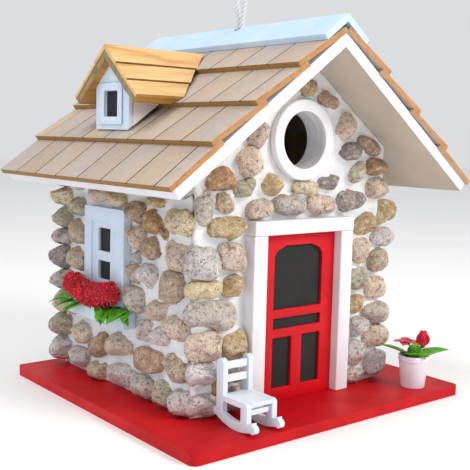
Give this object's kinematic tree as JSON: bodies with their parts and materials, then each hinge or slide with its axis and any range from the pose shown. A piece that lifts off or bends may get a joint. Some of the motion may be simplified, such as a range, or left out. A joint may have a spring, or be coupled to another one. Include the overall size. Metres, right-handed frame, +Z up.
{
  "type": "birdhouse",
  "caption": "Stone-clad cottage birdhouse with a shingled gable roof, dormer, round entrance ring and a hanging rope loop.",
  "frame": {"origin": "centre of the underside of the base board", "axes": "+Z up, -Y towards the door and entrance side, -X towards the wall with the window and dormer"},
  "size_m": [0.2234, 0.19, 0.267],
  "materials": {
    "red_base_paint": "satin red paint with softened edges",
    "zinc_steel": "zinc plated",
    "plywood": "bare plywood",
    "mortar": "trowelled white mortar, matt",
    "fieldstone": "natural cobbles, tan, pink and grey, matt",
    "white_trim": "satin white paint",
    "red_door_paint": "satin red paint",
    "black_backing": "flat black board",
    "pale_blue_paint": "satin pale blue-white paint",
    "petals": "crimson felted petals",
    "foliage": "bright green cut leaves",
    "roof_paint": "satin white paint",
    "cedar_shingles": "dry cedar, pinkish tan with golden edges",
    "ridge_cap_paint": "satin white paint with a blue cast",
    "white_rope": "twisted white cord",
    "cheek_paint": "satin white paint",
    "varnished_pine": "clear varnished pine",
    "chair_paint": "satin white paint",
    "pot_paint": "turned wood in satin white paint",
    "soil": "dark moss plug"
  },
  "bodies": {
    "house": {"base_board": "red_base_paint", "base_screws": "zinc_steel", "front_wall": "plywood", "left_wall": "plywood", "right_wall": "plywood", "rear_wall": "plywood", "front_mortar": "mortar", "left_mortar": "mortar", "right_mortar": "mortar", "rear_mortar": "mortar", "front_stones": "fieldstone", "left_stones": "fieldstone", "right_stones": "fieldstone", "rear_stones": "fieldstone", "entrance_ring": "white_trim", "door_header": "white_trim", "door_left_jamb": "white_trim", "door_right_jamb": "white_trim", "door_panel": "red_door_paint", "door_screen": "black_backing", "window_frame": "pale_blue_paint", "window_sash": "pale_blue_paint", "window_pane": "black_backing", "window_box": "pale_blue_paint", "window_flowers": "petals", "window_leaves": "foliage", "left_roof_board": "roof_paint", "right_roof_board": "roof_paint", "left_shingles_1": "cedar_shingles", "left_shingles_2": "cedar_shingles", "left_shingles_3": "cedar_shingles", "left_shingles_4": "cedar_shingles", "right_shingles_1": "cedar_shingles", "right_shingles_2": "cedar_shingles", "right_shingles_3": "cedar_shingles", "right_shingles_4": "cedar_shingles", "left_ridge_cap": "ridge_cap_paint", "right_ridge_cap": "ridge_cap_paint", "hanging_rope": "white_rope", "rope_knot": "white_rope", "dormer_front": "pale_blue_paint", "dormer_left_cheek": "cheek_paint", "dormer_right_cheek": "cheek_paint", "dormer_window_frame": "pale_blue_paint", "dormer_pane": "black_backing", "dormer_left_roof": "varnished_pine", "dormer_right_roof": "varnished_pine", "dormer_boards": "varnished_pine", "chair_left_side": "chair_paint", "chair_right_side": "chair_paint", "chair_seat": "chair_paint", "chair_rails": "chair_paint", "flower_pot": "pot_paint", "pot_soil": "soil", "pot_leaves": "foliage", "pot_flowers": "petals"},
    "cleanout_panel": {"cleanout_panel": "white_trim"},
    "cleanout_left_screw": {"cleanout_left_screw": "zinc_steel"},
    "cleanout_right_screw": {"cleanout_right_screw": "zinc_steel"}
  },
  "joints": [
    {"name": "cleanout_slide", "type": "slide", "parent": "house", "child": "cleanout_panel", "axis": [0, 1, 0], "range_m": [0, 0.05]},
    {"name": "left_screw_turn", "type": "hinge", "parent": "cleanout_panel", "child": "cleanout_left_screw", "pos_m": [-0.028, 0.089, 0.045], "axis": [0, 1, 0], "continuous": true},
    {"name": "right_screw_turn", "type": "hinge", "parent": "cleanout_panel", "child": "cleanout_right_screw", "pos_m": [0.028, 0.089, 0.045], "axis": [0, 1, 0], "continuous": true}
  ]
}
